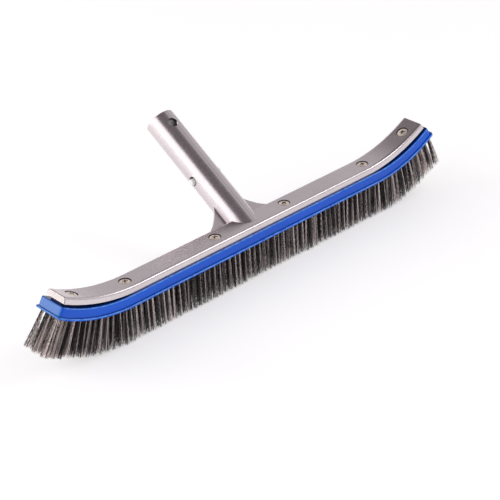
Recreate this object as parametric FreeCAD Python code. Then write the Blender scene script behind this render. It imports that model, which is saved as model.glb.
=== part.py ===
import FreeCAD, Part
import math
import os

# Curved pool wall brush: an aluminium casting (back bar, pole spigot and two gussets in one
# piece) is screwed to a moulded block that carries five staggered rows of stainless wire
# tufts.  A sprung V-clip inside the spigot pushes two lock buttons out through its sides.
#
# Frame, millimetres: +X along the brush, +Y towards the pole, +Z up out of the back.
# The origin is on the plane of the bristle tips, under the middle of the block.

# ---- heights in the straight middle, measured up from the bristle tips ----
BRISTLE_EXPOSED = 35.0
BLOCK_HEIGHT = 10.4
BACK_CLEARANCE = 0.2
BACK_THICKNESS = 5.7
LEDGE_Z = BRISTLE_EXPOSED + BLOCK_HEIGHT
BACK_BOTTOM_Z = LEDGE_Z + BACK_CLEARANCE
BACK_TOP_Z = BACK_BOTTOM_Z + BACK_THICKNESS

# ---- moulded block ----
BLOCK_STRAIGHT = 147.0
BLOCK_RADIUS = 136.2
BLOCK_END_DEG = 31.8
BLOCK_HALF_WIDTH = 15.1
BLOCK_CORNER_RADIUS = 3.0
BLOCK_RIM_RADIUS = 1.0
LIP_THICKNESS = 1.9
LIP_OVERHANG = 1.5
LIP_CORNER_RADIUS = 3.5
LIP_EDGE_RADIUS = 0.6
SEAT_RIB_HALF_WIDTH = 7.0
SEAT_RIB_DEPTH = 4.0
SEAT_RIB_END_DEG = 28.6

# ---- aluminium casting: back bar ----
BACK_STRAIGHT = 136.0
BACK_RADIUS = 157.0
BACK_END_DEG = 29.3
BACK_HALF_WIDTH = 11.2
BACK_SIDE_DRAFT_DEG = 10.5
BACK_EDGE_RADIUS = 2.6
BACK_END_ROUNDING = 0.7

# ---- aluminium casting: pole spigot ----
SPIGOT_TILT_DEG = 32.56
SPIGOT_RADIUS = 14.3
SPIGOT_ROOT_RADIUS = 14.5
SPIGOT_DRAFT_START = 52.0
SPIGOT_WALL = 2.4
SPIGOT_BASE_Y = 19.65
SPIGOT_BASE_DROP = 1.64
SPIGOT_MOUTH = 115.0
SPIGOT_FLOOR = 17.6
SPIGOT_HIDDEN_ROOT = -24.0
SPIGOT_MOUTH_ROUNDING = 0.7
TOP_HOLE_RADIUS = 4.7
TOP_HOLE_STATION = 101.0
BUTTON_STATION = 45.4
BUTTON_HOLE_RADIUS = 4.5
BUTTON_HOLE_OFFSET = 0.5

# ---- aluminium casting: gussets ----
GUSSET_TOP = 1.0
GUSSET_UNDER = 2.0
GUSSET_FOOT_DROP = 3.4
GUSSET_ROOT_Y = 9.0
GUSSET_OUTLINE = [(13.0, 18.0), (17.9, 8.9), (22.3, 4.0), (27.6, -0.9), (34.5, -5.2), (42.5, -10.0)]

# ---- screws ----
SCREW_STATIONS = [-200.5, -143.7, -42.0, 42.0, 143.7, 200.5]
SCREW_TURNS_DEG = [12.0, 58.0, 40.0, 5.0, 71.0, 33.0]
SCREW_RECESS_RADIUS = 5.6
SCREW_RECESS_DEPTH = 2.3
SCREW_CLEARANCE_RADIUS = 2.1
SCREW_HEAD_RADIUS = 5.0
SCREW_HEAD_HEIGHT = 2.6
SCREW_HEAD_SIDE = 1.7
SCREW_SHANK_RADIUS = 1.75
SCREW_SHANK_LENGTH = 11.5
SCREW_POINT_LENGTH = 1.8
SCREW_PILOT_RADIUS = 1.8
SCREW_PILOT_DEPTH = 12.0
CROSS_LENGTH = 5.2
CROSS_WIDTH = 1.3
CROSS_DEPTH = 1.6

# ---- tufts ----
ROW_SPACING = 5.0
ROW_COUNT = 5
TUFT_PITCH = 5.93
TUFTS_IN_LONG_ROW = 77
TUFT_HOLE_RADIUS = 1.65
TUFT_HOLE_DEPTH = 7.0
TUFT_ROOT_RADIUS = 1.25
TUFT_TIP_RADIUS = 2.6
END_TUFT_TIP_RADIUS = 3.1
TUFT_LEAN_DEG = 3.0
ROW_FAN_DEG_PER_MM = 0.2
SCREW_TUFT_CLEARANCE = 3.8
TRIM_END_DEG = 45.0
ANCHOR_WIDTH = 2.6
ANCHOR_HEIGHT = 1.2
ANCHOR_THICKNESS = 0.5
ANCHOR_CLEARANCE = 0.1

# ---- V-clip ----
STRIP_THICKNESS = 0.8
STRIP_WIDTH = 8.0
BEND_RADIUS = 4.0
ARM_SLOPE_START = 22.4
ARM_SLOPE_END = 38.5
ARM_FLAT_X = 10.4
ARM_END = 51.0
PIVOT_STATION = 22.0
BUTTON_RADIUS = 3.2
BUTTON_PROUD = 2.9
BUTTON_DOME_RADIUS = 1.4
BUTTON_STEM_RADIUS = 1.5
BUTTON_RIVET_RADIUS = 2.4
BUTTON_RIVET_HEIGHT = 0.9
STEM_CLEARANCE = 0.05

X_AXIS = FreeCAD.Vector(1, 0, 0)
Y_AXIS = FreeCAD.Vector(0, 1, 0)
Z_AXIS = FreeCAD.Vector(0, 0, 1)
ORIGIN = FreeCAD.Vector(0, 0, 0)
TOLERANCE = 1e-4


class Rail:
    """A straight middle with an arc at each end that curls up, centred above the rail."""

    def __init__(self, straight, radius, height, end_deg):
        self.straight = straight
        self.radius = radius
        self.height = height
        self.end = math.radians(end_deg)

    def centre(self, side):
        return FreeCAD.Vector(side * self.straight, 0, self.height + self.radius)

    def on_arc(self, side, angle, depth):
        reach = self.radius + depth
        return self.centre(side) + FreeCAD.Vector(side * reach * math.sin(angle), 0, -reach * math.cos(angle))

    def station(self, length, depth):
        """Angle from the vertical at an arc length measured at this depth below the rail."""
        beyond = max(0.0, abs(length) - self.straight)
        return math.copysign(beyond / (self.radius + depth), length)

    def point(self, length, at_depth, depth):
        """The point at `depth`, on the normal through arc length `length` of depth `at_depth`."""
        angle = self.station(length, at_depth)
        if angle == 0.0:
            return FreeCAD.Vector(length, 0, self.height - depth)
        side = math.copysign(1.0, length)
        return self.on_arc(side, abs(angle), depth)

    def depth_of(self, point):
        if abs(point.x) <= self.straight + TOLERANCE:
            return self.height - point.z
        centre = self.centre(math.copysign(1.0, point.x))
        return math.hypot(point.x - centre.x, point.z - centre.z) - self.radius


BLOCK_RAIL = Rail(BLOCK_STRAIGHT, BLOCK_RADIUS, LEDGE_Z, BLOCK_END_DEG)
BACK_RAIL = Rail(BACK_STRAIGHT, BACK_RADIUS, BACK_TOP_Z, BACK_END_DEG)


def band(rail, top_depth, bottom_depth, half_width, end_angle):
    """A bar that follows the rail between two depths, square to it at both ends."""
    edges = []
    for side in (1, -1):
        for depth in (top_depth, bottom_depth):
            start = rail.on_arc(side, 0.0, depth)
            middle = rail.on_arc(side, end_angle / 2, depth)
            finish = rail.on_arc(side, end_angle, depth)
            edges.append(Part.Arc(start, middle, finish).toShape())
        top_corner = rail.on_arc(side, end_angle, top_depth)
        edges.append(Part.makeLine(top_corner, rail.on_arc(side, end_angle, bottom_depth)))
    for depth in (top_depth, bottom_depth):
        edges.append(Part.makeLine(rail.on_arc(-1, 0.0, depth), rail.on_arc(1, 0.0, depth)))
    profile = Part.Face(Part.Wire(Part.__sortEdges__(edges)))
    profile.translate(Y_AXIS * -half_width)
    return profile.extrude(Y_AXIS * (2 * half_width))


def edges_between(shape, rail, half_width, depth_a, depth_b):
    """Edges on the sides of a band that run from one depth below the rail to another."""
    found = []
    for edge in shape.Edges:
        ends = [vertex.Point for vertex in edge.Vertexes]
        if len(ends) != 2 or any(abs(abs(end.y) - half_width) > TOLERANCE for end in ends):
            continue
        depths = sorted(rail.depth_of(end) for end in ends)
        if abs(depths[0] - depth_a) < TOLERANCE and abs(depths[1] - depth_b) < TOLERANCE:
            if ends[0].y * ends[1].y > 0:
                found.append(edge)
    return found


def rim_edges(shape, rail, depth):
    """Every edge that lies wholly at one depth below the rail."""
    found = []
    for edge in shape.Edges:
        middle = edge.valueAt((edge.FirstParameter + edge.LastParameter) / 2)
        points = [vertex.Point for vertex in edge.Vertexes] + [middle]
        if all(abs(rail.depth_of(point) - depth) < TOLERANCE for point in points):
            found.append(edge)
    return found


def rod(start, direction, length, radius):
    return Part.makeCylinder(radius, length, start, direction)


def down(angle, fan=0.0):
    """The way out of the block at this angle along the rail, fanned sideways by `fan`."""
    spread = math.cos(fan)
    return FreeCAD.Vector(math.sin(angle) * spread, math.sin(fan), -math.cos(angle) * spread)


def on_spigot(shape):
    """Put a shape made along +Z, with +X across and -Y on top, on the spigot's axis."""
    base = FreeCAD.Vector(0, SPIGOT_BASE_Y, BACK_TOP_Z - SPIGOT_BASE_DROP)
    on_axis = FreeCAD.Placement(base, FreeCAD.Rotation(X_AXIS, SPIGOT_TILT_DEG - 90.0))
    placed = shape.copy()
    placed.Placement = on_axis.multiply(shape.Placement)
    return placed


# ---- aluminium casting ----


def bar_section(straight):
    """Half-rounded trapezium of the back bar in the plane x = straight, wider at the bottom."""
    draft = math.radians(BACK_SIDE_DRAFT_DEG)
    foot = BACK_HALF_WIDTH + BACK_THICKNESS * math.tan(draft)
    turn = math.pi / 2 - draft
    reach = BACK_EDGE_RADIUS * math.tan(turn / 2)
    arc_centre_y = BACK_HALF_WIDTH - reach
    arc_centre_z = BACK_TOP_Z - BACK_EDGE_RADIUS

    def on_rounding(angle, side):
        y = arc_centre_y + BACK_EDGE_RADIUS * math.sin(angle)
        z = arc_centre_z + BACK_EDGE_RADIUS * math.cos(angle)
        return FreeCAD.Vector(straight, side * y, z)

    edges = []
    for side in (1, -1):
        arc_points = [on_rounding(turn * share, side) for share in (0.0, 0.5, 1.0)]
        edges.append(Part.Arc(*arc_points).toShape())
        edges.append(Part.makeLine(arc_points[2], FreeCAD.Vector(straight, side * foot, BACK_BOTTOM_Z)))
    edges.append(Part.makeLine(on_rounding(0.0, 1), on_rounding(0.0, -1)))
    corners = [FreeCAD.Vector(straight, side * foot, BACK_BOTTOM_Z) for side in (1, -1)]
    edges.append(Part.makeLine(*corners))
    return Part.Face(Part.Wire(Part.__sortEdges__(edges)))


def end_edges(shape, rail):
    """Edges of a bar's two end faces, apart from those along its bottom."""
    found = []
    for edge in shape.Edges:
        middle = edge.valueAt((edge.FirstParameter + edge.LastParameter) / 2)
        points = [vertex.Point for vertex in edge.Vertexes] + [middle]
        side = math.copysign(1.0, middle.x)
        across = [point - rail.centre(side) for point in points]
        angles = [math.atan2(side * arm.x, -arm.z) for arm in across]
        at_end = all(abs(angle - rail.end) < TOLERANCE for angle in angles)
        if at_end and rail.depth_of(middle) < BACK_THICKNESS - TOLERANCE:
            found.append(edge)
    return found


def back_bar():
    middle = bar_section(-BACK_STRAIGHT).extrude(X_AXIS * (2 * BACK_STRAIGHT))
    curves = []
    for side in (1, -1):
        section = bar_section(side * BACK_STRAIGHT)
        curves.append(section.revolve(BACK_RAIL.centre(side), Y_AXIS, -side * BACK_END_DEG))
    bar = middle.fuse(curves).removeSplitter()
    return bar.makeFillet(BACK_END_ROUNDING, end_edges(bar, BACK_RAIL))


def spigot_body():
    """A true cylinder from the mouth to the lock buttons, then a root with a little draft."""
    fit_start = Z_AXIS * SPIGOT_DRAFT_START
    fit = rod(fit_start, Z_AXIS, SPIGOT_MOUTH - SPIGOT_DRAFT_START, SPIGOT_RADIUS)
    mouth = [edge for edge in fit.Edges if abs(edge.CenterOfMass.z - SPIGOT_MOUTH) < TOLERANCE]
    fit = fit.makeFillet(SPIGOT_MOUTH_ROUNDING, mouth)
    root_length = SPIGOT_DRAFT_START - SPIGOT_HIDDEN_ROOT
    root = Part.makeCone(SPIGOT_RADIUS, SPIGOT_ROOT_RADIUS, root_length, fit_start, Z_AXIS * -1)
    return on_spigot(fit.fuse(root))


def spigot_bore():
    bore_radius = SPIGOT_RADIUS - SPIGOT_WALL
    reach = 2 * SPIGOT_RADIUS
    bore = rod(Z_AXIS * SPIGOT_FLOOR, Z_AXIS, SPIGOT_MOUTH, bore_radius)
    top_hole = rod(Z_AXIS * TOP_HOLE_STATION, Y_AXIS * -1, reach, TOP_HOLE_RADIUS)
    side_start = FreeCAD.Vector(-reach, 0, BUTTON_STATION + BUTTON_HOLE_OFFSET)
    side_holes = rod(side_start, X_AXIS, 2 * reach, BUTTON_HOLE_RADIUS)
    return on_spigot(bore.fuse([top_hole, side_holes]))


def gussets():
    tilt = math.radians(SPIGOT_TILT_DEG)
    base_z = BACK_TOP_Z - SPIGOT_BASE_DROP
    foot_z = BACK_TOP_Z - GUSSET_FOOT_DROP
    top_station = GUSSET_OUTLINE[0][1]

    def on_plane(station, lift):
        y = SPIGOT_BASE_Y + station * math.cos(tilt) - lift * math.sin(tilt)
        z = base_z + station * math.sin(tilt) + lift * math.cos(tilt)
        return FreeCAD.Vector(0, y, z)

    def on_plane_at_height(height, lift):
        return on_plane((height - base_z - lift * math.cos(tilt)) / math.sin(tilt), lift)

    corners = [
        FreeCAD.Vector(0, GUSSET_ROOT_Y, BACK_BOTTOM_Z),
        FreeCAD.Vector(0, GUSSET_ROOT_Y, foot_z),
        on_plane_at_height(foot_z, GUSSET_TOP),
        on_plane(top_station, GUSSET_TOP),
        on_plane(top_station, -GUSSET_UNDER),
        on_plane_at_height(BACK_BOTTOM_Z, -GUSSET_UNDER),
    ]
    side_profile = Part.Face(Part.makePolygon(corners + corners[:1]))
    half_span = GUSSET_OUTLINE[-1][0]
    side_profile.translate(X_AXIS * -half_span)
    plate = side_profile.extrude(X_AXIS * (2 * half_span))

    right = [FreeCAD.Vector(x, 0, station) for x, station in GUSSET_OUTLINE]
    left = [FreeCAD.Vector(-point.x, 0, point.z) for point in right]
    root_station = right[-1].z - SPIGOT_RADIUS
    right_foot = FreeCAD.Vector(right[-1].x, 0, root_station)
    left_foot = FreeCAD.Vector(left[-1].x, 0, root_station)
    edges = [Part.makeLine(left[0], right[0])]
    for points in (right, left):
        curve = Part.BSplineCurve()
        curve.interpolate(points)
        edges.append(curve.toShape())
    edges.append(Part.makeLine(right[-1], right_foot))
    edges.append(Part.makeLine(right_foot, left_foot))
    edges.append(Part.makeLine(left_foot, left[-1]))
    outline = Part.Face(Part.Wire(Part.__sortEdges__(edges)))
    outline.translate(Y_AXIS * -SPIGOT_RADIUS)
    return plate.common(on_spigot(outline.extrude(Y_AXIS * (2 * SPIGOT_RADIUS))))


def above_back_bottom():
    size = 4 * SPIGOT_MOUTH
    return Part.makeBox(size, size, size, FreeCAD.Vector(-size / 2, -size / 2, BACK_BOTTOM_Z))


def screw_cuts():
    cuts = []
    for length in SCREW_STATIONS:
        inward = down(BACK_RAIL.station(length, 0.0))
        top = BACK_RAIL.point(length, 0.0, 0.0)
        over = top - inward * BACK_THICKNESS
        cuts.append(rod(over, inward, BACK_THICKNESS + SCREW_RECESS_DEPTH, SCREW_RECESS_RADIUS))
        cuts.append(rod(over, inward, 3 * BACK_THICKNESS, SCREW_CLEARANCE_RADIUS))
    return cuts


def back_casting():
    handle = spigot_body().fuse(gussets()).common(above_back_bottom())
    casting = back_bar().fuse(handle)
    casting = casting.cut(spigot_bore())
    casting = casting.cut(screw_cuts())
    return casting.removeSplitter()


# ---- moulded block ----


def lip():
    bottom = BLOCK_HEIGHT
    top = BLOCK_HEIGHT - LIP_THICKNESS
    half_width = BLOCK_HALF_WIDTH + LIP_OVERHANG
    end = BLOCK_RAIL.end + LIP_OVERHANG / (BLOCK_RADIUS + bottom)
    shape = band(BLOCK_RAIL, top, bottom, half_width, end)
    shape = shape.makeFillet(LIP_CORNER_RADIUS, edges_between(shape, BLOCK_RAIL, half_width, top, bottom))
    shape = shape.makeFillet(LIP_EDGE_RADIUS, rim_edges(shape, BLOCK_RAIL, top))
    return shape.makeFillet(LIP_EDGE_RADIUS, rim_edges(shape, BLOCK_RAIL, bottom))


def block_body():
    bottom = BLOCK_HEIGHT - LIP_THICKNESS / 2
    shape = band(BLOCK_RAIL, 0.0, bottom, BLOCK_HALF_WIDTH, BLOCK_RAIL.end)
    corners = edges_between(shape, BLOCK_RAIL, BLOCK_HALF_WIDTH, 0.0, bottom)
    shape = shape.makeFillet(BLOCK_CORNER_RADIUS, corners)
    return shape.makeFillet(BLOCK_RIM_RADIUS, rim_edges(shape, BLOCK_RAIL, 0.0))


def seat_rib():
    """The raised seat that fills the widening gap under the back bar."""
    end = math.radians(SEAT_RIB_END_DEG)
    bottom = BACK_THICKNESS + SEAT_RIB_DEPTH
    return band(BACK_RAIL, BACK_THICKNESS, bottom, SEAT_RIB_HALF_WIDTH, end)


def screw_pilots():
    pilots = []
    for length in SCREW_STATIONS:
        inward = down(BACK_RAIL.station(length, 0.0))
        seat = BACK_RAIL.point(length, 0.0, SCREW_RECESS_DEPTH)
        pilots.append(rod(seat, inward, SCREW_PILOT_DEPTH, SCREW_PILOT_RADIUS))
    return pilots


def screw_tip_station(length):
    """The arc length at the lip that lies straight under a screw's tip."""
    tip = BACK_RAIL.point(length, 0.0, SCREW_RECESS_DEPTH + SCREW_SHANK_LENGTH)
    beyond = abs(tip.x) - BLOCK_STRAIGHT
    if beyond <= 0.0:
        return tip.x
    angle = math.atan2(beyond, LEDGE_Z + BLOCK_RADIUS - tip.z)
    return math.copysign(BLOCK_STRAIGHT + angle * (BLOCK_RADIUS + BLOCK_HEIGHT), length)


def tuft_stations():
    """For each row its offset across the block and its tufts' arc lengths at the lip."""
    screws = [screw_tip_station(length) for length in SCREW_STATIONS]
    rows = []
    middle_row = (ROW_COUNT - 1) / 2
    for row in range(ROW_COUNT):
        offset = (row - middle_row) * ROW_SPACING
        count = TUFTS_IN_LONG_ROW - row % 2
        stations = [(index - (count - 1) / 2) * TUFT_PITCH for index in range(count)]
        if offset == 0.0:
            stations = [s for s in stations if all(abs(s - screw) > SCREW_TUFT_CLEARANCE for screw in screws)]
        rows.append((offset, stations))
    return rows


def tuft_angle(length):
    """Angle of a tuft from the vertical: square to the lip, less the lean that all tufts share."""
    return BLOCK_RAIL.station(length, BLOCK_HEIGHT) - math.radians(TUFT_LEAN_DEG)


def tuft_mouth(offset, length):
    return BLOCK_RAIL.point(length, BLOCK_HEIGHT, BLOCK_HEIGHT) + Y_AXIS * offset


def hole_floor(offset, length):
    return tuft_mouth(offset, length) - down(tuft_angle(length)) * TUFT_HOLE_DEPTH


def tuft_hole(offset, length):
    depth = TUFT_HOLE_DEPTH + LIP_THICKNESS
    return rod(hole_floor(offset, length), down(tuft_angle(length)), depth, TUFT_HOLE_RADIUS)


def brush_block(rows):
    block = block_body().fuse([lip(), seat_rib()]).removeSplitter()
    holes = [tuft_hole(offset, length) for offset, stations in rows for length in stations]
    return block.cut(Part.makeCompound(holes)).cut(screw_pilots())


# ---- tufts and their anchors ----


def tuft(offset, length):
    """One tuft before trimming: a flared bundle from its anchor to past the trimmed tips."""
    fan = math.radians(ROW_FAN_DEG_PER_MM * offset)
    inside = (TUFT_HOLE_DEPTH - ANCHOR_HEIGHT - ANCHOR_CLEARANCE) / 2
    pivot = tuft_mouth(offset, length) - down(tuft_angle(length)) * inside
    way = down(tuft_angle(length), fan)
    to_tip = inside + BRISTLE_EXPOSED
    tip_radius = END_TUFT_TIP_RADIUS if BLOCK_RAIL.station(length, BLOCK_HEIGHT) else TUFT_TIP_RADIUS
    flare = (tip_radius - TUFT_ROOT_RADIUS) / (inside + to_tip)
    bundle_length = inside + to_tip + tip_radius
    end_radius = TUFT_ROOT_RADIUS + flare * bundle_length
    return Part.makeCone(TUFT_ROOT_RADIUS, end_radius, bundle_length, pivot - way * inside, way)


def trimmed_row(offset, stations):
    """A row of tufts cut off along a surface parallel to the lip."""
    reach = 2 * BLOCK_HALF_WIDTH
    trim = band(BLOCK_RAIL, 0.0, BLOCK_HEIGHT + BRISTLE_EXPOSED, reach, math.radians(TRIM_END_DEG))
    return Part.makeCompound([tuft(offset, station).common(trim) for station in stations])


def anchor(offset, length):
    """The flat staple that pins a folded tuft to the bottom of its hole."""
    corner = FreeCAD.Vector(-ANCHOR_WIDTH / 2, -ANCHOR_THICKNESS / 2, -ANCHOR_HEIGHT)
    plate = Part.makeBox(ANCHOR_WIDTH, ANCHOR_THICKNESS, ANCHOR_HEIGHT, corner)
    turn = FreeCAD.Rotation(Y_AXIS, -math.degrees(tuft_angle(length)))
    plate.Placement = FreeCAD.Placement(hole_floor(offset, length), turn)
    return plate


# ---- screws ----


def screw(length, turn_deg):
    """A Phillips pan-head screw, made head up at the origin and set in its recess."""
    dome = SCREW_HEAD_HEIGHT - SCREW_HEAD_SIDE
    sphere = (SCREW_HEAD_RADIUS ** 2 + dome ** 2) / (2 * dome)
    half_angle = math.asin(SCREW_HEAD_RADIUS / sphere) / 2
    crown = FreeCAD.Vector(0, 0, SCREW_HEAD_HEIGHT)
    mid_x = sphere * math.sin(half_angle)
    mid_z = SCREW_HEAD_HEIGHT - sphere * (1 - math.cos(half_angle))
    shoulder = FreeCAD.Vector(SCREW_HEAD_RADIUS, 0, SCREW_HEAD_SIDE)
    tip_start = -SCREW_SHANK_LENGTH + SCREW_POINT_LENGTH
    outline = [
        shoulder,
        FreeCAD.Vector(SCREW_HEAD_RADIUS, 0, 0),
        FreeCAD.Vector(SCREW_SHANK_RADIUS, 0, 0),
        FreeCAD.Vector(SCREW_SHANK_RADIUS, 0, tip_start),
        FreeCAD.Vector(0, 0, -SCREW_SHANK_LENGTH),
        crown,
    ]
    edges = [Part.Arc(crown, FreeCAD.Vector(mid_x, 0, mid_z), shoulder).toShape()]
    edges += [Part.makeLine(a, b) for a, b in zip(outline, outline[1:])]
    body = Part.Face(Part.Wire(Part.__sortEdges__(edges))).revolve(ORIGIN, Z_AXIS, 360)
    floor = SCREW_HEAD_HEIGHT - CROSS_DEPTH
    for size_x, size_y in ((CROSS_LENGTH, CROSS_WIDTH), (CROSS_WIDTH, CROSS_LENGTH)):
        slot_corner = FreeCAD.Vector(-size_x / 2, -size_y / 2, floor)
        body = body.cut(Part.makeBox(size_x, size_y, SCREW_HEAD_HEIGHT, slot_corner))
    body.rotate(ORIGIN, Z_AXIS, turn_deg)
    seat = BACK_RAIL.point(length, 0.0, SCREW_RECESS_DEPTH)
    lean = math.degrees(BACK_RAIL.station(length, 0.0))
    body.Placement = FreeCAD.Placement(seat, FreeCAD.Rotation(Y_AXIS, -lean)).multiply(body.Placement)
    return body


# ---- V-clip ----


def strip(edges_of_centreline):
    """Spring strip with this centreline in the XZ plane, its width across the spigot."""
    wire = Part.Wire(edges_of_centreline)
    start = wire.Edges[0].valueAt(wire.Edges[0].FirstParameter)
    tangent = wire.Edges[0].tangentAt(wire.Edges[0].FirstParameter)
    across = tangent.cross(Y_AXIS).normalize() * (STRIP_THICKNESS / 2)
    half = Y_AXIS * (STRIP_WIDTH / 2)
    corners = [start + across + half, start - across + half, start - across - half, start + across - half]
    section = Part.makePolygon(corners + corners[:1])
    return wire.makePipeShell([section], True, False)


def clip_bend():
    """The closed end of the V, a half turn that rests on the floor of the bore."""
    left = FreeCAD.Vector(-BEND_RADIUS, 0, PIVOT_STATION)
    lowest = FreeCAD.Vector(0, 0, PIVOT_STATION - BEND_RADIUS)
    right = FreeCAD.Vector(BEND_RADIUS, 0, PIVOT_STATION)
    return on_spigot(strip([Part.Arc(left, lowest, right).toShape()]))


def clip_arm(side):
    """One leg of the V: it slopes out to the wall, then runs along it behind the button."""
    slope = (ARM_FLAT_X - BEND_RADIUS) / (ARM_SLOPE_END - PIVOT_STATION)
    start_x = BEND_RADIUS + slope * (ARM_SLOPE_START - PIVOT_STATION)
    half = STRIP_THICKNESS / 2
    inner = [(start_x - half, ARM_SLOPE_START), (ARM_FLAT_X - half, ARM_SLOPE_END), (ARM_FLAT_X - half, ARM_END)]
    outer = [(x + STRIP_THICKNESS, station) for x, station in reversed(inner)]
    corners = [FreeCAD.Vector(side * x, -STRIP_WIDTH / 2, station) for x, station in inner + outer]
    arm = Part.Face(Part.makePolygon(corners + corners[:1])).extrude(Y_AXIS * STRIP_WIDTH)
    stem_hole = rod(Z_AXIS * BUTTON_STATION, X_AXIS * side, SPIGOT_RADIUS, BUTTON_STEM_RADIUS + STEM_CLEARANCE)
    return on_spigot(arm.cut(stem_hole))


def clip_button(side):
    """A lock button: domed outside, with a stem through the strip and a rivet head inside."""
    half = STRIP_THICKNESS / 2
    seat = ARM_FLAT_X + half
    tip = SPIGOT_RADIUS + BUTTON_PROUD
    dome_start = tip - BUTTON_DOME_RADIUS
    rivet_top = ARM_FLAT_X - half
    rivet_end = rivet_top - BUTTON_RIVET_HEIGHT
    bend = BUTTON_DOME_RADIUS * math.sqrt(0.5)
    flat = BUTTON_RADIUS - BUTTON_DOME_RADIUS
    dome_middle = FreeCAD.Vector(flat + bend, 0, dome_start + bend)
    outline = [
        (BUTTON_RADIUS, dome_start),
        (BUTTON_RADIUS, seat),
        (BUTTON_STEM_RADIUS, seat),
        (BUTTON_STEM_RADIUS, rivet_top),
        (BUTTON_RIVET_RADIUS, rivet_top),
        (BUTTON_RIVET_RADIUS, rivet_end),
        (0.0, rivet_end),
        (0.0, tip),
        (flat, tip),
    ]
    points = [FreeCAD.Vector(radius, 0, height) for radius, height in outline]
    edges = [Part.makeLine(a, b) for a, b in zip(points, points[1:])]
    edges.append(Part.Arc(points[-1], dome_middle, points[0]).toShape())
    body = Part.Face(Part.Wire(Part.__sortEdges__(edges))).revolve(ORIGIN, Z_AXIS, 360)
    body.rotate(ORIGIN, Y_AXIS, 90 * side)
    body.translate(Z_AXIS * BUTTON_STATION)
    return on_spigot(body)


def build():
    rows = tuft_stations()
    nodes = {"back_casting": back_casting(), "brush_block": brush_block(rows)}
    for number, (length, turn_deg) in enumerate(zip(SCREW_STATIONS, SCREW_TURNS_DEG), 1):
        nodes[f"screw_{number}"] = screw(length, turn_deg)
    for number, (offset, stations) in enumerate(rows, 1):
        nodes[f"bristle_row_{number}"] = trimmed_row(offset, stations)
        nodes[f"tuft_anchors_row_{number}"] = Part.makeCompound([anchor(offset, s) for s in stations])
    nodes["clip_bend"] = clip_bend()
    for name, side in (("left", -1), ("right", 1)):
        nodes[f"clip_arm_{name}"] = clip_arm(side)
        nodes[f"clip_button_{name}"] = clip_button(side)
    return nodes


os.makedirs("parts", exist_ok=True)
for node, shape in build().items():
    shape.exportStep(f"parts/{node}.step")
    print(node, len(shape.Solids), shape.isValid(), round(shape.Volume), shape.BoundBox)
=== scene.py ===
import math
import random

import bpy
import numpy as np
from mathutils import Matrix, Vector


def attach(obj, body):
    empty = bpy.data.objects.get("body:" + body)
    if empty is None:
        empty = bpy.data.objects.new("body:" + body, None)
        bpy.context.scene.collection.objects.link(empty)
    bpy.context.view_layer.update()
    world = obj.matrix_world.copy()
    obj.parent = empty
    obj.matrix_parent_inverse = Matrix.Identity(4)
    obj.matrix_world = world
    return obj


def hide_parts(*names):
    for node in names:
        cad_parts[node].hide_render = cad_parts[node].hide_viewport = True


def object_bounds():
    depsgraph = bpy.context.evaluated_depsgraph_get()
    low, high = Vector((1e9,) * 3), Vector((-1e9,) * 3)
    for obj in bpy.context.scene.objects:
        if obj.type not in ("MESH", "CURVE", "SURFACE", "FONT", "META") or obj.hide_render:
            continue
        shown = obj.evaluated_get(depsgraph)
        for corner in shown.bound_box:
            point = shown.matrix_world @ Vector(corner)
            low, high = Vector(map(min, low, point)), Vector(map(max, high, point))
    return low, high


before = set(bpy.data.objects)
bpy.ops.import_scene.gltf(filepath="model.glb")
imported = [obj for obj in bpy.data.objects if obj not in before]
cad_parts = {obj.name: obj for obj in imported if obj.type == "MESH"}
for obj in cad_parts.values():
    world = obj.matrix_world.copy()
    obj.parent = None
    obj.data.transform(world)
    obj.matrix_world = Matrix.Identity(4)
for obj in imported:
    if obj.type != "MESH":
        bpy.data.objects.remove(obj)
CAD_BOX = [list(corner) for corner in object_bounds()]
MM = 0.001

# ---- the photograph's viewpoint, in the row frame ----
CAMERA_PLACE = Vector((-0.8941, -1.0108, 0.7970))
CAMERA_AZIMUTH = math.radians(-41.436)
CAMERA_ELEVATION = math.radians(29.928)
CAMERA_ROLL = math.radians(-3.154)
CAMERA_LENS = 125.1
SENSOR_WIDTH = 36.0

# ---- bristles ----
WIRE_RADIUS = 0.19 * MM
WIRE_SIDES = 3
OUTER_WIRES = 22
OUTER_SEGMENTS = 15
INNER_WIRES = 20
CURVE_EXTRA_WIRES = 8
INNER_SEGMENTS = 6
CRIMP_HEIGHT = 0.2 * MM
TUFT_SPREAD = 1.04
CURVE_SPREAD = 1.22
TUFT_SPREAD_VARIATION = 0.1
CLUMPS = 5
# how far a tuft's painted lit clump may turn from facing outwards
LIT_CLUMP_FACING = math.radians(75)
STRAY_CHANCE = 0.03
STRAY_LEAN = 1.6 * MM
TRIM_UNEVENNESS = 0.4 * MM
TUFT_TRIM_UNEVENNESS = 0.8 * MM
LOBE_TUFTS = 3
LOBE_TRIM_UNEVENNESS = 1.2 * MM
END_TUFTS = 3
END_EXTRA_WIRES = 6
END_DROOP = 5.0 * MM
DROOP_REACH = 62.0 * MM
SPRUNG_CHANCE = 0.08
SPRUNG_CRIMP = 0.42 * MM
RING_DEPTH = 0.5 * MM
GOLDEN_ANGLE = math.pi * (3 - math.sqrt(5))

# ---- the spigot's own frame, for marks on the casting ----
SPIGOT_TILT = math.radians(32.56)
SPIGOT_BASE = (0.0, 19.65 * MM, 49.66 * MM)
BORE_RADIUS = 11.9 * MM

# ---- the casting's top follows a rail with a curved end on either side of a straight middle ----
BACK_STRAIGHT = 136.0 * MM
BACK_RADIUS = 157.0 * MM
BACK_CENTRE_HEIGHT = 208.3 * MM
BACK_END = math.radians(29.3)

# ---- the screws, at arc lengths along the casting's top, the same on both halves ----
SCREW_STATIONS = [42.0 * MM, 143.7 * MM, 200.5 * MM]
RECESS_RADIUS = 5.6 * MM
CROSS_REACH = 2.4 * MM

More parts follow.
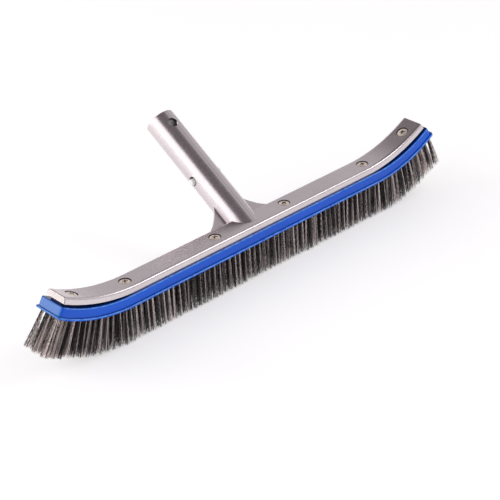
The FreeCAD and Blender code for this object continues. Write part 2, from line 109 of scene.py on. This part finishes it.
# ---- the block's ledge follows a rail of its own ----
BLOCK_END = math.radians(31.8)
BLOCK_STRAIGHT = 147.0 * MM
BLOCK_RADIUS = 136.2 * MM
BLOCK_CENTRE_HEIGHT = 181.6 * MM
BLOCK_HALF_LENGTH = BLOCK_STRAIGHT + BLOCK_RADIUS * BLOCK_END
BLOCK_HALF_WIDTH = 15.1 * MM
LIP_DEPTH = 8.5 * MM

# ---- stage ----
FLOOR_HALF_SIZE = 6.0
FLOOR_GAP = 0.5 * MM
LAMP_TARGET = Vector((0.0, 0.03, 0.06))


def make_camera():
    camera = bpy.data.objects.new("camera", bpy.data.cameras.new("camera"))
    bpy.context.scene.collection.objects.link(camera)
    camera.data.lens = CAMERA_LENS
    camera.data.sensor_width = SENSOR_WIDTH
    camera.data.clip_end = 50.0
    azimuth, elevation = CAMERA_AZIMUTH, CAMERA_ELEVATION
    back = Vector(
        (math.sin(azimuth) * math.cos(elevation), -math.cos(azimuth) * math.cos(elevation), math.sin(elevation))
    )
    level_right = Vector((math.cos(azimuth), math.sin(azimuth), 0.0))
    level_up = back.cross(level_right)
    right = level_right * math.cos(CAMERA_ROLL) + level_up * math.sin(CAMERA_ROLL)
    up = back.cross(right)
    turn = Matrix((right, up, back)).transposed()
    camera.matrix_world = Matrix.Translation(CAMERA_PLACE) @ turn.to_4x4()
    bpy.context.scene.camera = camera


# ---- node helpers ----


def new_material(name):
    material = bpy.data.materials.new(name)
    material.use_nodes = True
    tree = material.node_tree
    return material, tree, tree.nodes["Principled BSDF"]


def node(tree, kind, **settings):
    made = tree.nodes.new(kind)
    for key, value in settings.items():
        setattr(made, key, value)
    return made


def noise(tree, place, scale, detail=4.0, roughness=0.55):
    made = node(tree, "ShaderNodeTexNoise")
    made.inputs["Scale"].default_value = scale
    made.inputs["Detail"].default_value = detail
    made.inputs["Roughness"].default_value = roughness
    tree.links.new(place, made.inputs["Vector"])
    return made.outputs["Fac"]


def stretched(tree, place, scale):
    made = node(tree, "ShaderNodeMapping")
    made.inputs["Scale"].default_value = scale
    tree.links.new(place, made.inputs["Vector"])
    return made.outputs["Vector"]


def spread(tree, value, low, high, to_low, to_high):
    made = node(tree, "ShaderNodeMapRange")
    for socket, number in zip(("From Min", "From Max", "To Min", "To Max"), (low, high, to_low, to_high)):
        made.inputs[socket].default_value = number
    tree.links.new(value, made.inputs["Value"])
    return made.outputs["Result"]


def ramp(tree, value, stops):
    made = node(tree, "ShaderNodeValToRGB")
    elements = made.color_ramp.elements
    while len(elements) < len(stops):
        elements.new(0.5)
    for element, (position, colour) in zip(elements, stops):
        element.position = position
        element.color = (*colour, 1.0)
    tree.links.new(value, made.inputs["Fac"])
    return made.outputs["Color"]


def bump(tree, height, distance, strength, under=None):
    made = node(tree, "ShaderNodeBump")
    made.inputs["Distance"].default_value = distance
    made.inputs["Strength"].default_value = strength
    tree.links.new(height, made.inputs["Height"])
    if under is not None:
        tree.links.new(under, made.inputs["Normal"])
    return made.outputs["Normal"]


def position(tree):
    return node(tree, "ShaderNodeTexCoord").outputs["Object"]


def maths(tree, operation, *values):
    made = node(tree, "ShaderNodeMath", operation=operation)
    for socket, value in zip(made.inputs, values):
        if isinstance(value, float):
            socket.default_value = value
        else:
            tree.links.new(value, socket)
    return made.outputs["Value"]


def times(tree, first, second):
    return maths(tree, "MULTIPLY", first, second)


def hypotenuse(tree, first, second):
    squares = [maths(tree, "POWER", side, 2.0) for side in (first, second)]
    return maths(tree, "SQRT", maths(tree, "ADD", *squares))


def within(tree, value, low, high, soft):
    """1 between low and high, falling to 0 over a soft edge outside them."""
    over_low = spread(tree, value, low - soft, low, 0.0, 1.0)
    return times(tree, over_low, spread(tree, value, high, high + soft, 1.0, 0.0))


def mixed(tree, share, under, over):
    made = node(tree, "ShaderNodeMix", data_type="RGBA")
    tree.links.new(share, made.inputs["Factor"])
    tree.links.new(under, made.inputs["A"])
    made.inputs["B"].default_value = (*over, 1.0)
    return made.outputs["Result"]


# ---- places on the brush, for the marks in its materials ----


def spigot_place(tree, place):
    """Distance from the spigot's axis, and the sideways, lengthways and upward parts of the place in its frame."""
    moved = node(tree, "ShaderNodeVectorMath", operation="SUBTRACT")
    tree.links.new(place, moved.inputs[0])
    moved.inputs[1].default_value = SPIGOT_BASE
    turned = node(tree, "ShaderNodeMapping")
    turned.inputs["Rotation"].default_value = (-SPIGOT_TILT, 0.0, 0.0)
    tree.links.new(moved.outputs[0], turned.inputs["Vector"])
    flat = node(tree, "ShaderNodeVectorMath", operation="MULTIPLY")
    tree.links.new(turned.outputs["Vector"], flat.inputs[0])
    flat.inputs[1].default_value = (1.0, 0.0, 1.0)
    length = node(tree, "ShaderNodeVectorMath", operation="LENGTH")
    tree.links.new(flat.outputs[0], length.inputs[0])
    parts = node(tree, "ShaderNodeSeparateXYZ")
    tree.links.new(turned.outputs["Vector"], parts.inputs[0])
    return length.outputs["Value"], parts.outputs


def rail_place(tree, place, straight, radius, centre_height):
    """Arc length from the middle and depth under a rail with two curved ends, and distance from its middle plane."""
    parts = node(tree, "ShaderNodeSeparateXYZ")
    tree.links.new(place, parts.inputs[0])
    x, y, z = (parts.outputs[axis] for axis in "XYZ")
    x = maths(tree, "ABSOLUTE", x)
    beyond = maths(tree, "MAXIMUM", maths(tree, "SUBTRACT", x, straight), 0.0)
    below = maths(tree, "SUBTRACT", centre_height, z)
    reach = hypotenuse(tree, beyond, below)
    turned = maths(tree, "MULTIPLY", maths(tree, "ARCTAN2", beyond, below), radius)
    length = maths(tree, "ADD", maths(tree, "MINIMUM", x, straight), turned)
    return length, maths(tree, "SUBTRACT", reach, radius), maths(tree, "ABSOLUTE", y)


def from_screw(tree, length, aside):
    """Distance from the axis of the nearest screw."""
    away = [maths(tree, "ABSOLUTE", maths(tree, "SUBTRACT", length, station)) for station in SCREW_STATIONS]
    nearest = maths(tree, "MINIMUM", maths(tree, "MINIMUM", away[0], away[1]), away[2])
    return hypotenuse(tree, nearest, aside)


def beyond_end(tree, place):
    """Distance outwards from the plane of the nearer end face; negative inside the bar."""
    mirrored = node(tree, "ShaderNodeVectorMath", operation="ABSOLUTE")
    tree.links.new(place, mirrored.inputs[0])
    arm = node(tree, "ShaderNodeVectorMath", operation="SUBTRACT")
    tree.links.new(mirrored.outputs[0], arm.inputs[0])
    arm.inputs[1].default_value = (BACK_STRAIGHT, 0.0, BACK_CENTRE_HEIGHT)
    along = node(tree, "ShaderNodeVectorMath", operation="DOT_PRODUCT")
    tree.links.new(arm.outputs[0], along.inputs[0])
    along.inputs[1].default_value = (math.cos(BACK_END), 0.0, math.sin(BACK_END))
    return along.outputs["Value"]


# ---- materials ----


def cast_aluminium():
    material, tree, shader = new_material("cast_aluminium")
    place = position(tree)
    cloud = noise(tree, place, 28.0, 5.0)
    grain = noise(tree, place, 1100.0, 3.0)
    scuffs = noise(tree, stretched(tree, place, (60.0, 500.0, 500.0)), 1.0, 2.0)
    colour = ramp(tree, cloud, [(0.3, (0.64, 0.585, 0.605)), (0.7, (0.69, 0.635, 0.655))])
    from_axis, (sideways, _, height) = spigot_place(tree, place)
    # painted shade: the bore's inside wall is painted near-black, standing in for the shade inside the hole
    inside = spread(tree, from_axis, BORE_RADIUS + 0.1 * MM, BORE_RADIUS + 0.5 * MM, 1.0, 0.0)
    outside = spread(tree, from_axis, BORE_RADIUS + 1.6 * MM, BORE_RADIUS + 2.0 * MM, 0.0, 1.0)
    outside = times(tree, outside, spread(tree, from_axis, BORE_RADIUS + 2.8 * MM, BORE_RADIUS + 3.1 * MM, 1.0, 0.0))
    left = spread(tree, sideways, 1.5 * MM, 1.8 * MM, 0.0, 1.0)
    right = spread(tree, sideways, 1.9 * MM, 2.2 * MM, 1.0, 0.0)
    on_top = spread(tree, height, 0.0, 1.0 * MM, 0.0, 1.0)
    seam = times(tree, times(tree, left, right), times(tree, on_top, outside))
    colour = mixed(tree, seam, colour, (0.16, 0.14, 0.15))
    colour = mixed(tree, inside, colour, (0.13, 0.12, 0.125))
    # painted shade: the bar's end faces get a much darker base colour, so they show less of the strong side light
    # falling on them
    painted_end_shade_and_sheen = spread(tree, beyond_end(tree, place), -0.25 * MM, -0.1 * MM, 0.0, 1.0)
    colour = mixed(tree, painted_end_shade_and_sheen, colour, (0.232, 0.222, 0.232))
    length, _, aside = rail_place(tree, place, BACK_STRAIGHT, BACK_RADIUS, BACK_CENTRE_HEIGHT)
    # painted shade: the walls of the hollows round the screw heads are painted near-black, standing in for the shade
    # inside them
    painted_recess_shade = spread(tree, from_screw(tree, length, aside), RECESS_RADIUS, RECESS_RADIUS + 0.15 * MM, 1.0, 0.0)
    colour = mixed(tree, painted_recess_shade, colour, (0.07, 0.06, 0.06))
    tree.links.new(colour, shader.inputs["Base Color"])
    tree.links.new(spread(tree, scuffs, 0.3, 0.7, 0.24, 0.30), shader.inputs["Roughness"])
    coarse = bump(tree, cloud, 0.4 * MM, 0.2)
    fine = bump(tree, grain, 0.03 * MM, 0.3, coarse)
    tree.links.new(fine, shader.inputs["Normal"])
    shader.inputs["Metallic"].default_value = 1.0
    return material


def blue_plastic():
    material, tree, shader = new_material("blue_plastic")
    place = position(tree)
    flow = noise(tree, stretched(tree, place, (12.0, 60.0, 60.0)), 1.0, 3.0)
    pebble = noise(tree, place, 1400.0, 2.0)
    colour = ramp(tree, flow, [(0.3, (0.003, 0.085, 0.60)), (0.7, (0.004, 0.11, 0.71))])
    length, depth, aside = rail_place(tree, place, BLOCK_STRAIGHT, BLOCK_RADIUS, BLOCK_CENTRE_HEIGHT)
    # painted highlights: the rim's top edge and the lip's top edge get a lighter blue, broken into dashes by noise,
    # standing in for the front lamp's highlights along those edges
    highlight_dashes = spread(tree, noise(tree, place, 260.0, 2.0), 0.35, 0.6, 0.35, 1.0)
    outer = spread(tree, aside, BLOCK_HALF_WIDTH - 1.2 * MM, BLOCK_HALF_WIDTH - 0.6 * MM, 0.0, 1.0)
    rim = times(tree, within(tree, depth, 0.1 * MM, 0.5 * MM, 0.3 * MM), outer)
    lip_level = within(tree, depth, LIP_DEPTH - 0.3 * MM, LIP_DEPTH + 0.7 * MM, 0.2 * MM)
    lip_side = spread(tree, aside, BLOCK_HALF_WIDTH + 0.5 * MM, BLOCK_HALF_WIDTH + 0.8 * MM, 0.0, 1.0)
    lip_edge = times(tree, lip_level, lip_side)
    painted_edge_highlight = times(tree, maths(tree, "MAXIMUM", rim, lip_edge), highlight_dashes)
    # painted shade: a darker blue line where the front face meets the lip's top, standing in for the shade in that
    # inside corner
    crease_level = within(tree, depth, LIP_DEPTH - 0.8 * MM, LIP_DEPTH + 0.1 * MM, 0.2 * MM)
    crease_side = spread(tree, aside, BLOCK_HALF_WIDTH + 0.2 * MM, BLOCK_HALF_WIDTH + 0.5 * MM, 1.0, 0.0)
    painted_crease_shade = times(tree, crease_level, crease_side)
    colour = mixed(tree, painted_crease_shade, colour, (0.002, 0.07, 0.46))
    # painted shadow: the ledge beside the casting bar is painted dark navy, standing in for the bar's shadow and the
    # shade in the gap under it
    ledge_level = spread(tree, depth, 0.05 * MM, 0.3 * MM, 1.0, 0.0)
    ledge_side = spread(tree, aside, BLOCK_HALF_WIDTH - 2.0 * MM, BLOCK_HALF_WIDTH - 1.1 * MM, 1.0, 0.0)
    ledge = times(tree, ledge_level, ledge_side)
    colour = mixed(tree, ledge, colour, (0.001, 0.022, 0.16))
    # painted highlight on the rim and lip edges, laid over the other marks
    colour = mixed(tree, painted_edge_highlight, colour, (0.16, 0.42, 1.0))
    # painted reflection: the block's end faces get a paler blue, standing in for the sheen of the side light on them
    painted_end_shade_and_sheen = spread(tree, length, BLOCK_HALF_LENGTH - 0.5 * MM, BLOCK_HALF_LENGTH - 0.2 * MM, 0.0, 1.0)
    colour = mixed(tree, painted_end_shade_and_sheen, colour, (0.03, 0.17, 0.58))
    tree.links.new(colour, shader.inputs["Base Color"])
    tree.links.new(spread(tree, flow, 0.3, 0.7, 0.20, 0.28), shader.inputs["Roughness"])
    sink = bump(tree, flow, 0.3 * MM, 0.3)
    tree.links.new(bump(tree, pebble, 0.02 * MM, 0.4, sink), shader.inputs["Normal"])
    shader.inputs["Specular IOR Level"].default_value = 0.26
    return material


def bristle_wire():
    material, tree, shader = new_material("bristle_wire")
    # the tone attribute holds random tone from wire to wire together with painted light: a light clump on each
    # tuft's outer side and brighter end tufts
    tone = node(tree, "ShaderNodeAttribute", attribute_name="tone").outputs["Fac"]
    tarnish = noise(tree, position(tree), 90.0, 3.0)
    colour = ramp(
        tree,
        times(tree, tone, spread(tree, tarnish, 0.3, 0.7, 0.75, 1.0)),
        [(0.0, (0.035, 0.03, 0.032)), (0.42, (0.18, 0.16, 0.168)), (0.78, (1.0, 0.88, 0.84))],
    )
    tree.links.new(colour, shader.inputs["Base Color"])
    tree.links.new(spread(tree, tarnish, 0.3, 0.7, 0.22, 0.38), shader.inputs["Roughness"])
    shader.inputs["Metallic"].default_value = 1.0
    return material


def screw_steel():
    material, tree, shader = new_material("screw_steel")
    place = position(tree)
    smear = noise(tree, place, 220.0)
    colour = ramp(tree, smear, [(0.3, (0.86, 0.72, 0.62)), (0.7, (0.98, 0.86, 0.76))])
    length, depth, aside = rail_place(tree, place, BACK_STRAIGHT, BACK_RADIUS, BACK_CENTRE_HEIGHT)
    # painted shade: the cross slot in each head is painted near-black, standing in for the shade inside it
    centred = spread(tree, from_screw(tree, length, aside), CROSS_REACH, CROSS_REACH + 0.2 * MM, 1.0, 0.0)
    painted_cross_shade = times(tree, spread(tree, depth, 0.0, 0.12 * MM, 0.0, 1.0), centred)
    colour = mixed(tree, painted_cross_shade, colour, (0.045, 0.035, 0.03))
    tree.links.new(colour, shader.inputs["Base Color"])
    tree.links.new(spread(tree, smear, 0.3, 0.7, 0.2, 0.34), shader.inputs["Roughness"])
    tree.links.new(bump(tree, noise(tree, place, 2500.0), 0.02 * MM, 0.3), shader.inputs["Normal"])
    shader.inputs["Metallic"].default_value = 0.6
    return material


def bright_steel(name, tone, roughness):
    material, tree, shader = new_material(name)
    place = position(tree)
    smear = noise(tree, place, 220.0, 4.0)
    colour = ramp(tree, smear, [(0.3, tuple(0.85 * part for part in tone)), (0.7, tone)])
    tree.links.new(colour, shader.inputs["Base Color"])
    tree.links.new(spread(tree, smear, 0.3, 0.7, 0.7 * roughness, 1.3 * roughness), shader.inputs["Roughness"])
    tree.links.new(bump(tree, noise(tree, place, 2500.0), 0.02 * MM, 0.3), shader.inputs["Normal"])
    shader.inputs["Metallic"].default_value = 1.0
    return material


def button_plastic():
    material, tree, shader = new_material("button_plastic")
    place = position(tree)
    mottle = noise(tree, place, 400.0, 4.0)
    colour = ramp(tree, mottle, [(0.3, (0.84, 0.84, 0.80)), (0.7, (0.93, 0.93, 0.89))])
    tree.links.new(colour, shader.inputs["Base Color"])
    tree.links.new(spread(tree, mottle, 0.3, 0.7, 0.45, 0.6), shader.inputs["Roughness"])
    tree.links.new(bump(tree, noise(tree, place, 3000.0), 0.02 * MM, 0.3), shader.inputs["Normal"])
    return material


def floor_material():
    material, tree, shader = new_material("floor")
    place = position(tree)
    colour = ramp(tree, noise(tree, place, 3.0), [(0.3, (0.90, 0.90, 0.90)), (0.7, (0.93, 0.93, 0.93))])
    tree.links.new(colour, shader.inputs["Base Color"])
    shader.inputs["Roughness"].default_value = 0.9
    shader.inputs["Emission Color"].default_value = (1.0, 1.0, 1.0, 1.0)
    shader.inputs["Emission Strength"].default_value = 0.45
    return material


def dress(material, *names):
    for name in names:
        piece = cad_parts[name]
        piece.data.materials.clear()
        piece.data.materials.append(material)


# ---- bristles ----


def tufts_of(name):
    """Each tuft solid of a CAD row as (root centre, tip centre, root radius, tip radius)."""
    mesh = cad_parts[name].data
    points = np.array([vertex.co for vertex in mesh.vertices])
    keys = [tuple(row) for row in np.round(points / (0.01 * MM)).astype(int)]
    first = {}
    parent = [first.setdefault(key, index) for index, key in enumerate(keys)]

    def find(index):
        while parent[index] != index:
            parent[index] = parent[parent[index]]
            index = parent[index]
        return index

    for edge in mesh.edges:
        a, b = find(edge.vertices[0]), find(edge.vertices[1])
        parent[max(a, b)] = min(a, b)
    groups = {}
    for index in first.values():
        groups.setdefault(find(index), []).append(index)
    tufts = []
    for members in groups.values():
        corners = points[members]
        middle = corners.mean(0)
        axis = np.linalg.svd(corners - middle)[2][0]
        if axis[2] > 0:
            axis = -axis
        along = (corners - middle) @ axis
        ends = []
        for ring in (corners[along < along.min() + RING_DEPTH], corners[along > along.max() - RING_DEPTH]):
            centre = (ring.min(0) + ring.max(0)) / 2
            ends.append((Vector(centre), float(np.linalg.norm(ring - centre, axis=1).max())))
        (root, root_radius), (tip, tip_radius) = ends
        tufts.append((root, tip, root_radius, tip_radius))
    return sorted(tufts, key=lambda tuft: tuft[0].x)


def inside_box(point):
    """The point, moved back inside the CAD model's box by a wire's radius where it would leave it."""
    low, high = CAD_BOX
    return Vector([min(max(v, a + WIRE_RADIUS), b - WIRE_RADIUS) for v, a, b in zip(point, low, high)])


class Tuft:
    """One bundle of wires in clumps; away from the ends, the lightest clump faces outwards as a painted lit side."""

    def __init__(self, ends, facing, crimped, at_end, lobe, curved, dice):
        self.root, self.tip, self.root_radius, self.tip_radius = ends
        self.axis = (self.tip - self.root).normalized()
        self.length = (self.tip - self.root).length
        self.outward = facing - self.axis * facing.dot(self.axis)
        self.outward.normalize()
        self.sideways = self.axis.cross(self.outward)
        self.spread = (CURVE_SPREAD if curved else TUFT_SPREAD) + dice.uniform(-1, 1) * TUFT_SPREAD_VARIATION
        self.cut = lobe + TUFT_TRIM_UNEVENNESS * dice.random() ** 2
        self.droop = END_DROOP * min(1.0, max(0.0, (self.root.x - BLOCK_STRAIGHT) / DROOP_REACH))
        self.phase = dice.uniform(0, math.pi)
        # painted light: clumps take random tones, but the first clump is always light and turned to face outwards,
        # standing in for the lit outer side of the tuft
        self.tones = [0.45 * dice.random() for _ in range(CLUMPS)]
        self.tones[0] = dice.uniform(0.6, 1.0)
        self.turn = dice.uniform(-LIT_CLUMP_FACING, LIT_CLUMP_FACING) - math.pi / CLUMPS
        sprung = crimped and dice.random() < SPRUNG_CHANCE
        self.crimp = SPRUNG_CRIMP if sprung else CRIMP_HEIGHT if crimped else 0.0
        self.segments = OUTER_SEGMENTS if crimped else INNER_SEGMENTS
        # painted light: end tufts take a brighter mix of clump tones with no lit side, standing in for the side
        # light on the brush's ends; sprung tufts take the same mix
        if sprung or at_end:
            self.tones = [dice.choice((0.0, 0.6, 0.95)) for _ in self.tones]
        if sprung:
            self.segments = 2 * OUTER_SEGMENTS

    def wire(self, dice, share, spin):
        """Centreline and tone of one wire, from inside its hole to the trimmed tips."""
        start = math.sqrt(share)
        cut = self.cut + TRIM_UNEVENNESS * dice.random() ** 2
        clump = int((spin / (2 * math.pi)) % 1.0 * CLUMPS)
        tone = min(1.0, max(0.0, self.tones[clump] + dice.uniform(-0.3, 0.3)))
        wave_way = dice.uniform(0, 2 * math.pi)
        phase = self.phase + dice.uniform(-0.6, 0.6)
        wander_x, wander_y = dice.gauss(0, 0.2 * MM), dice.gauss(0, 0.2 * MM)
        stray = dice.choice((-1, 1)) * STRAY_LEAN if dice.random() < STRAY_CHANCE else 0.0
        points = []
        for step in range(self.segments + 1):
            along = step / self.segments
            radius = self.root_radius + (self.tip_radius * self.spread - self.root_radius) * along ** 1.3
            radius = max(0.0, radius - WIRE_RADIUS) * start
            x = radius * math.cos(spin + self.turn) + wander_x * along
            y = radius * math.sin(spin + self.turn) + wander_y * along
            swing = self.crimp * math.cos(math.pi * step + phase)
            x += swing * math.cos(wave_way)
            y += swing * math.sin(wave_way)
            sway = Vector((stray - self.droop, 0.0, -0.5 * self.droop)) * along ** 2
            down = self.axis * ((self.length - cut) * along)
            points.append(inside_box(self.root + down + self.outward * x + self.sideways * y + sway))
        return points, tone


def add_tube(points, vertices, faces):
    """A thin tube of WIRE_SIDES sides round a centreline, closed at its tip."""
    axis = (points[-1] - points[0]).normalized()
    across = axis.orthogonal().normalized()
    other = axis.cross(across)
    first = len(vertices)
    for point in points:
        for side in range(WIRE_SIDES):
            turn = 2 * math.pi * side / WIRE_SIDES
            vertices.append(point + (across * math.cos(turn) + other * math.sin(turn)) * WIRE_RADIUS)
    for ring in range(len(points) - 1):
        base = first + ring * WIRE_SIDES
        for side in range(WIRE_SIDES):
            after = (side + 1) % WIRE_SIDES
            faces.append((base + side, base + after, base + WIRE_SIDES + after, base + WIRE_SIDES + side))
    last = first + (len(points) - 1) * WIRE_SIDES
    faces.append(tuple(last + side for side in range(WIRE_SIDES)))
    faces.append(tuple(first + side for side in reversed(range(WIRE_SIDES))))


def facing_of(number, index, count):
    """The way the outside of the brush lies from a tuft of this row."""
    if min(index, count - 1 - index) < END_TUFTS:
        return Vector((-1.0 if index < count / 2 else 1.0, 0.0, 0.2))
    return Vector((0.0, -1.0 if number <= 3 else 1.0, 0.0))


def bristle_row(number, material):
    name = f"bristle_row_{number}"
    dice = random.Random(number)
    tufts = tufts_of(name)
    outer = number in (1, 5)
    vertices, faces, tones = [], [], []
    lobe = 0.0
    for index, ends in enumerate(tufts):
        at_end = min(index, len(tufts) - 1 - index) < END_TUFTS
        if index % LOBE_TUFTS == 0:
            lobe = LOBE_TRIM_UNEVENNESS * dice.random() ** 2
        curved = abs(ends[0].x) > BLOCK_STRAIGHT
        tuft = Tuft(ends, facing_of(number, index, len(tufts)), outer or at_end, at_end, lobe, curved, dice)
        wires = OUTER_WIRES if outer or at_end else INNER_WIRES
        wires += CURVE_EXTRA_WIRES if curved else 0
        wires += END_EXTRA_WIRES if at_end else 0
        for wire in range(wires):
            line, tone = tuft.wire(dice, (wire + 0.5) / wires, wire * GOLDEN_ANGLE)
            first = len(vertices)
            add_tube(line, vertices, faces)
            tones += [tone] * (len(vertices) - first)
    mesh = bpy.data.meshes.new(f"wires_row_{number}")
    mesh.from_pydata(vertices, [], faces)
    mesh.polygons.foreach_set("use_smooth", [True] * len(mesh.polygons))
    mesh.attributes.new("tone", "FLOAT", "POINT").data.foreach_set("value", tones)
    mesh.materials.append(material)
    piece = bpy.data.objects.new(f"wires_row_{number}", mesh)
    bpy.context.scene.collection.objects.link(piece)
    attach(piece, "root")
    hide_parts(name)


# ---- stage ----


def make_floor():
    half = FLOOR_HALF_SIZE
    mesh = bpy.data.meshes.new("floor")
    mesh.from_pydata([(-half, -half, 0), (half, -half, 0), (half, half, 0), (-half, half, 0)], [], [(0, 1, 2, 3)])
    mesh.materials.append(floor_material())
    floor = bpy.data.objects.new("floor", mesh)
    bpy.context.scene.collection.objects.link(floor)
    floor.location.z = -FLOOR_GAP


def softbox(name, azimuth_deg, elevation_deg, distance, size, brightness):
    """A rectangular lamp that faces the brush; brightness is its radiance."""
    azimuth, elevation = math.radians(azimuth_deg), math.radians(elevation_deg)
    level = Vector((math.cos(azimuth), math.sin(azimuth), 0.0)) * math.cos(elevation)
    way = level + Vector((0.0, 0.0, math.sin(elevation)))
    light = bpy.data.lights.new(name, "AREA")
    light.shape = "RECTANGLE"
    light.size, light.size_y = size
    light.energy = brightness * math.pi * size[0] * size[1]
    lamp = bpy.data.objects.new(name, light)
    bpy.context.scene.collection.objects.link(lamp)
    lamp.location = LAMP_TARGET + way * distance
    lamp.rotation_euler = way.to_track_quat("Z", "Y").to_euler()
    return lamp


def make_lights():
    softbox("left_box", 170.0, 27.0, 2.2, (2.3, 2.0), 1.08)
    strip = softbox("back_left_strip", 132.0, 13.0, 2.4, (0.6, 1.1), 7.0)
    strip.data.color = (1.0, 0.92, 0.84)
    softbox("front_right_box", -48.0, 40.0, 2.2, (0.9, 0.5), 4.6)
    world = bpy.data.worlds.new("world")
    world.use_nodes = True
    tree = world.node_tree
    way = node(tree, "ShaderNodeSeparateXYZ")
    tree.links.new(node(tree, "ShaderNodeTexCoord").outputs["Generated"], way.inputs[0])
    high = spread(tree, way.outputs["Z"], 0.64, 0.76, 0.0, 1.0)
    not_right = spread(tree, way.outputs["X"], 0.44, 0.58, 1.0, 0.0)
    shade = ramp(tree, times(tree, high, not_right), [(0.0, (0.62, 0.60, 0.61)), (1.0, (0.17, 0.15, 0.16))])
    tree.links.new(shade, tree.nodes["Background"].inputs["Color"])
    bpy.context.scene.world = world


def build():
    make_camera()
    make_floor()
    make_lights()
    dress(cast_aluminium(), "back_casting")
    dress(blue_plastic(), "brush_block")
    dress(screw_steel(), *[f"screw_{number}" for number in range(1, 7)])
    spring_steel = bright_steel("spring_steel", (0.46, 0.46, 0.48), 0.3)
    dress(spring_steel, "clip_bend", "clip_arm_left", "clip_arm_right")
    dress(button_plastic(), "clip_button_left", "clip_button_right")
    dress(bright_steel("anchor_steel", (0.5, 0.5, 0.5), 0.35), *[f"tuft_anchors_row_{row}" for row in range(1, 6)])
    wire = bristle_wire()
    for number in range(1, 6):
        bristle_row(number, wire)


build()
bpy.context.scene.view_settings.view_transform = "Standard"
